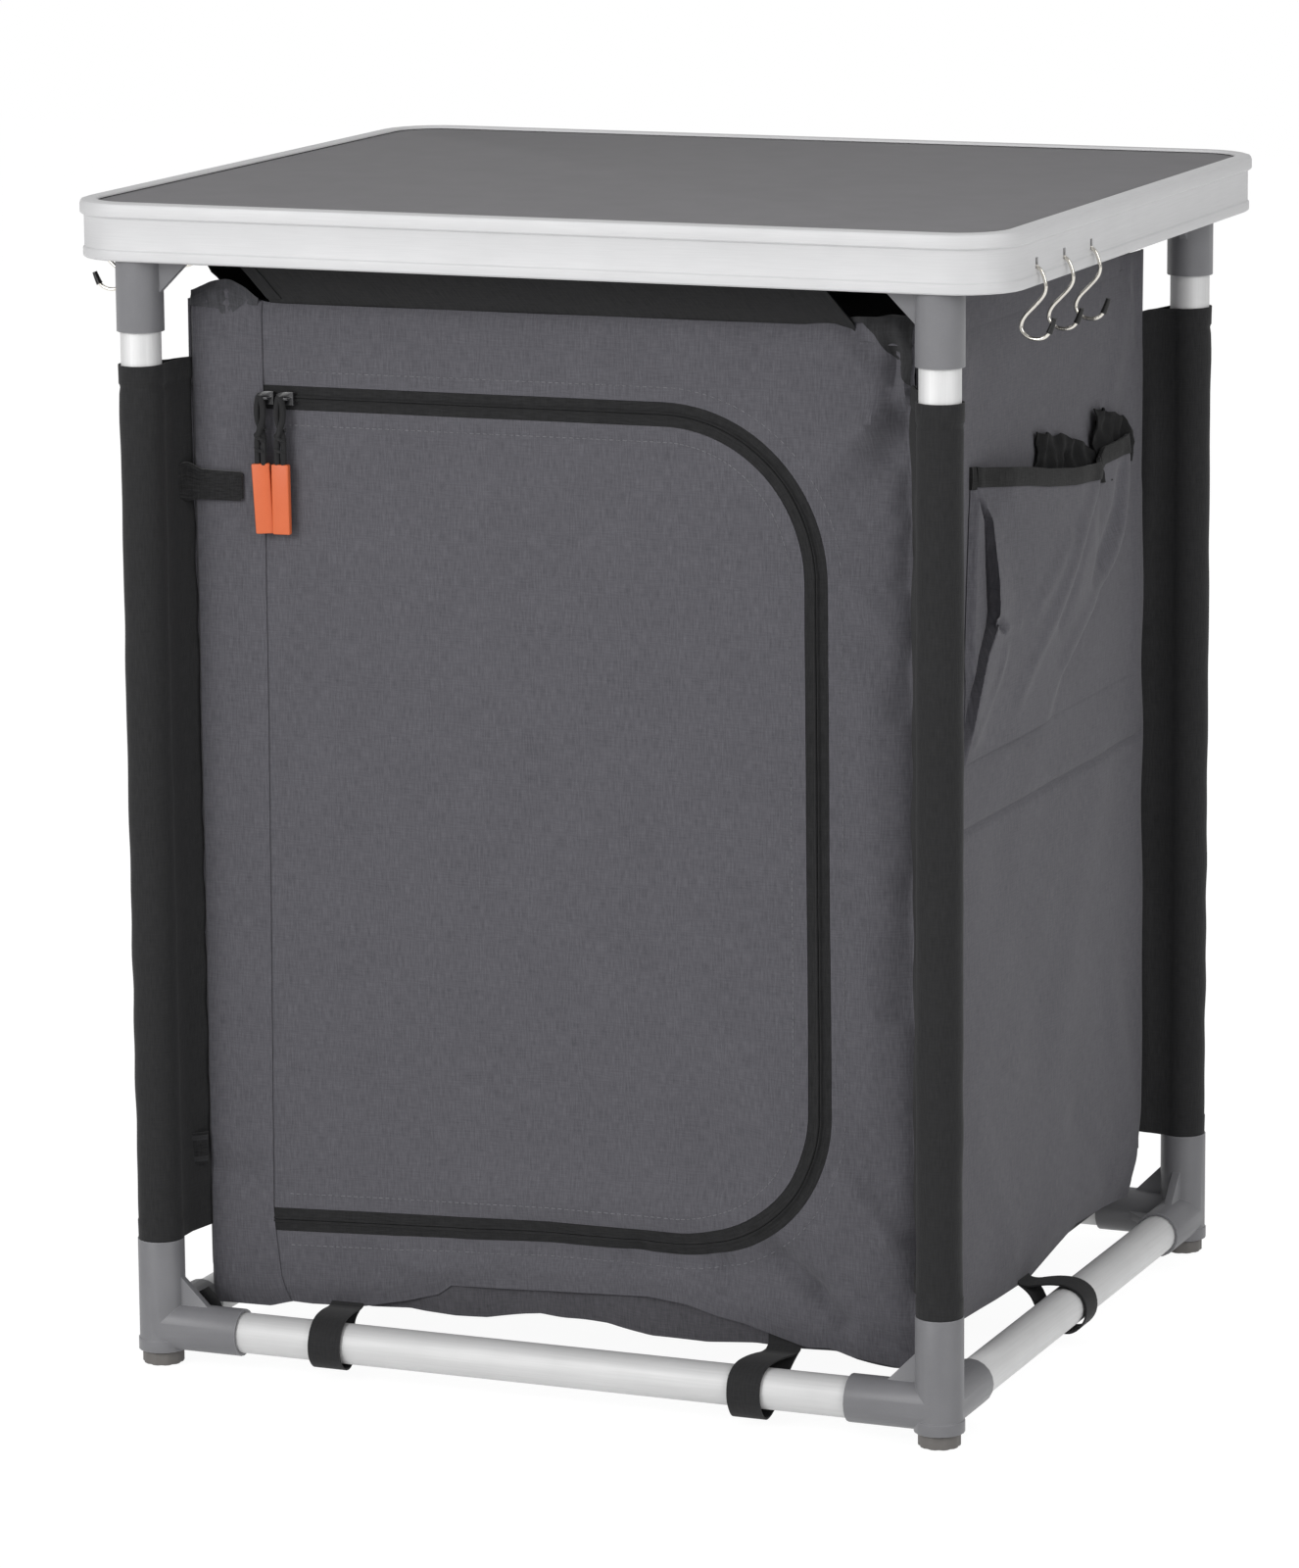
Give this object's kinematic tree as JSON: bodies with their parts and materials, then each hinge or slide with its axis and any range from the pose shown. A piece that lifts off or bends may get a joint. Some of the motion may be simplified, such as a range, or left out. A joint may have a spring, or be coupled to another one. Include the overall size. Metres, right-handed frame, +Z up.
{
  "type": "camping cupboard",
  "caption": "Knock-down tube-frame table with a lift-off framed top, side hooks, and a hanging fabric cabinet with a zipped door, inner shelf and side organiser.",
  "frame": {"origin": "on the floor under the middle of the tabletop", "axes": "+Z up, the zipped door faces -Y, the side organiser is on the +X side"},
  "size_m": [0.6228, 0.51, 0.72],
  "materials": {
    "anodised_aluminium": "satin silver anodised",
    "corner_plastic": "moulded mid grey",
    "foot_plastic": "moulded warm grey",
    "table_plate": "grey laminated board",
    "grey_cloth": "plain woven polyester",
    "black_cloth": "plain woven black polyester",
    "covered_board": "stiff board sewn into black cloth",
    "zip_tape": "black zip tape with a nylon coil",
    "black_metal": "black enamelled zip slider",
    "pull_orange": "soft orange grip on a black cord",
    "chromed_wire": "bright wire with a dipped black tip"
  },
  "bodies": {
    "frame": {"leg_front_left": "anodised_aluminium", "leg_front_right": "anodised_aluminium", "leg_back_left": "anodised_aluminium", "leg_back_right": "anodised_aluminium", "rail_bottom_front": "anodised_aluminium", "rail_bottom_back": "anodised_aluminium", "rail_bottom_left": "anodised_aluminium", "rail_bottom_right": "anodised_aluminium", "rail_top_front": "anodised_aluminium", "rail_top_back": "anodised_aluminium", "rail_top_left": "anodised_aluminium", "rail_top_right": "anodised_aluminium", "corner_bottom_front_left": "corner_plastic", "corner_bottom_front_right": "corner_plastic", "corner_bottom_back_left": "corner_plastic", "corner_bottom_back_right": "corner_plastic", "corner_top_front_left": "corner_plastic", "corner_top_front_right": "corner_plastic", "corner_top_back_left": "corner_plastic", "corner_top_back_right": "corner_plastic", "front_panel": "grey_cloth", "zip_frame_half": "zip_tape", "side_panel_left": "grey_cloth", "side_panel_right": "grey_cloth", "back_panel": "grey_cloth", "floor_board": "covered_board", "shelf_board": "covered_board", "top_panel": "grey_cloth", "flap_front": "black_cloth", "flap_back": "black_cloth", "sleeve_front_left": "black_cloth", "sleeve_front_right": "black_cloth", "sleeve_back_left": "black_cloth", "sleeve_back_right": "black_cloth", "strap_front_left": "black_cloth", "strap_front_right": "black_cloth", "strap_back_left": "black_cloth", "strap_back_right": "black_cloth", "strap_left": "black_cloth", "strap_right": "black_cloth", "organiser": "grey_cloth"},
    "tabletop": {"table_rim": "anodised_aluminium", "table_panel": "table_plate"},
    "door": {"door_panel": "grey_cloth", "zip_door_half": "zip_tape"},
    "slider_left": {"slider_left": "black_metal"},
    "slider_right": {"slider_right": "black_metal"},
    "pull_left": {"pull_left": "pull_orange"},
    "pull_right": {"pull_right": "pull_orange"},
    "foot_front_left": {"foot_front_left": "foot_plastic"},
    "foot_front_right": {"foot_front_right": "foot_plastic"},
    "foot_back_left": {"foot_back_left": "foot_plastic"},
    "foot_back_right": {"foot_back_right": "foot_plastic"},
    "hook_left_1": {"hook_left_1": "chromed_wire"},
    "hook_left_2": {"hook_left_2": "chromed_wire"},
    "hook_left_3": {"hook_left_3": "chromed_wire"},
    "hook_right_1": {"hook_right_1": "chromed_wire"},
    "hook_right_2": {"hook_right_2": "chromed_wire"},
    "hook_right_3": {"hook_right_3": "chromed_wire"}
  },
  "joints": [
    {"name": "tabletop_lift", "type": "slide", "parent": "frame", "child": "tabletop", "axis": [0, 0, 1], "range_m": [0, 0.04]},
    {"name": "door_swing", "type": "hinge", "parent": "frame", "child": "door", "pos_m": [-0.19, -0.2075, 0.3455], "axis": [0, 0, -1], "range_deg": [0, 115]},
    {"name": "slider_left_run", "type": "slide", "parent": "door", "child": "slider_left", "axis": [1, 0, 0], "range_m": [0, 0.07]},
    {"name": "slider_right_run", "type": "slide", "parent": "slider_left", "child": "slider_right", "axis": [1, 0, 0], "range_m": [0, 0.16]},
    {"name": "pull_left_swing", "type": "hinge", "parent": "slider_left", "child": "pull_left", "pos_m": [-0.1813, -0.2132, 0.601], "axis": [-1, 0, 0], "range_deg": [0, 150]},
    {"name": "pull_right_swing", "type": "hinge", "parent": "slider_right", "child": "pull_right", "pos_m": [-0.1688, -0.2132, 0.601], "axis": [-1, 0, 0], "range_deg": [0, 150]},
    {"name": "foot_front_left_screw", "type": "slide", "parent": "frame", "child": "foot_front_left", "axis": [0, 0, -1], "range_m": [0, 0.008]},
    {"name": "foot_front_right_screw", "type": "slide", "parent": "frame", "child": "foot_front_right", "axis": [0, 0, -1], "range_m": [0, 0.008]},
    {"name": "foot_back_left_screw", "type": "slide", "parent": "frame", "child": "foot_back_left", "axis": [0, 0, -1], "range_m": [0, 0.008]},
    {"name": "foot_back_right_screw", "type": "slide", "parent": "frame", "child": "foot_back_right", "axis": [0, 0, -1], "range_m": [0, 0.008]},
    {"name": "hook_left_1_swing", "type": "hinge", "parent": "tabletop", "child": "hook_left_1", "pos_m": [-0.297, -0.19, 0.69635], "axis": [0, 1, 0], "range_deg": [-12, 18]},
    {"name": "hook_left_2_swing", "type": "hinge", "parent": "tabletop", "child": "hook_left_2", "pos_m": [-0.297, -0.1405, 0.69635], "axis": [0, 1, 0], "range_deg": [-12, 18]},
    {"name": "hook_left_3_swing", "type": "hinge", "parent": "tabletop", "child": "hook_left_3", "pos_m": [-0.297, -0.091, 0.69635], "axis": [0, 1, 0], "range_deg": [-12, 18]},
    {"name": "hook_right_1_swing", "type": "hinge", "parent": "tabletop", "child": "hook_right_1", "pos_m": [0.297, -0.19, 0.69635], "axis": [0, 1, 0], "range_deg": [-18, 12]},
    {"name": "hook_right_2_swing", "type": "hinge", "parent": "tabletop", "child": "hook_right_2", "pos_m": [0.297, -0.1405, 0.69635], "axis": [0, 1, 0], "range_deg": [-18, 12]},
    {"name": "hook_right_3_swing", "type": "hinge", "parent": "tabletop", "child": "hook_right_3", "pos_m": [0.297, -0.091, 0.69635], "axis": [0, 1, 0], "range_deg": [-18, 12]}
  ]
}
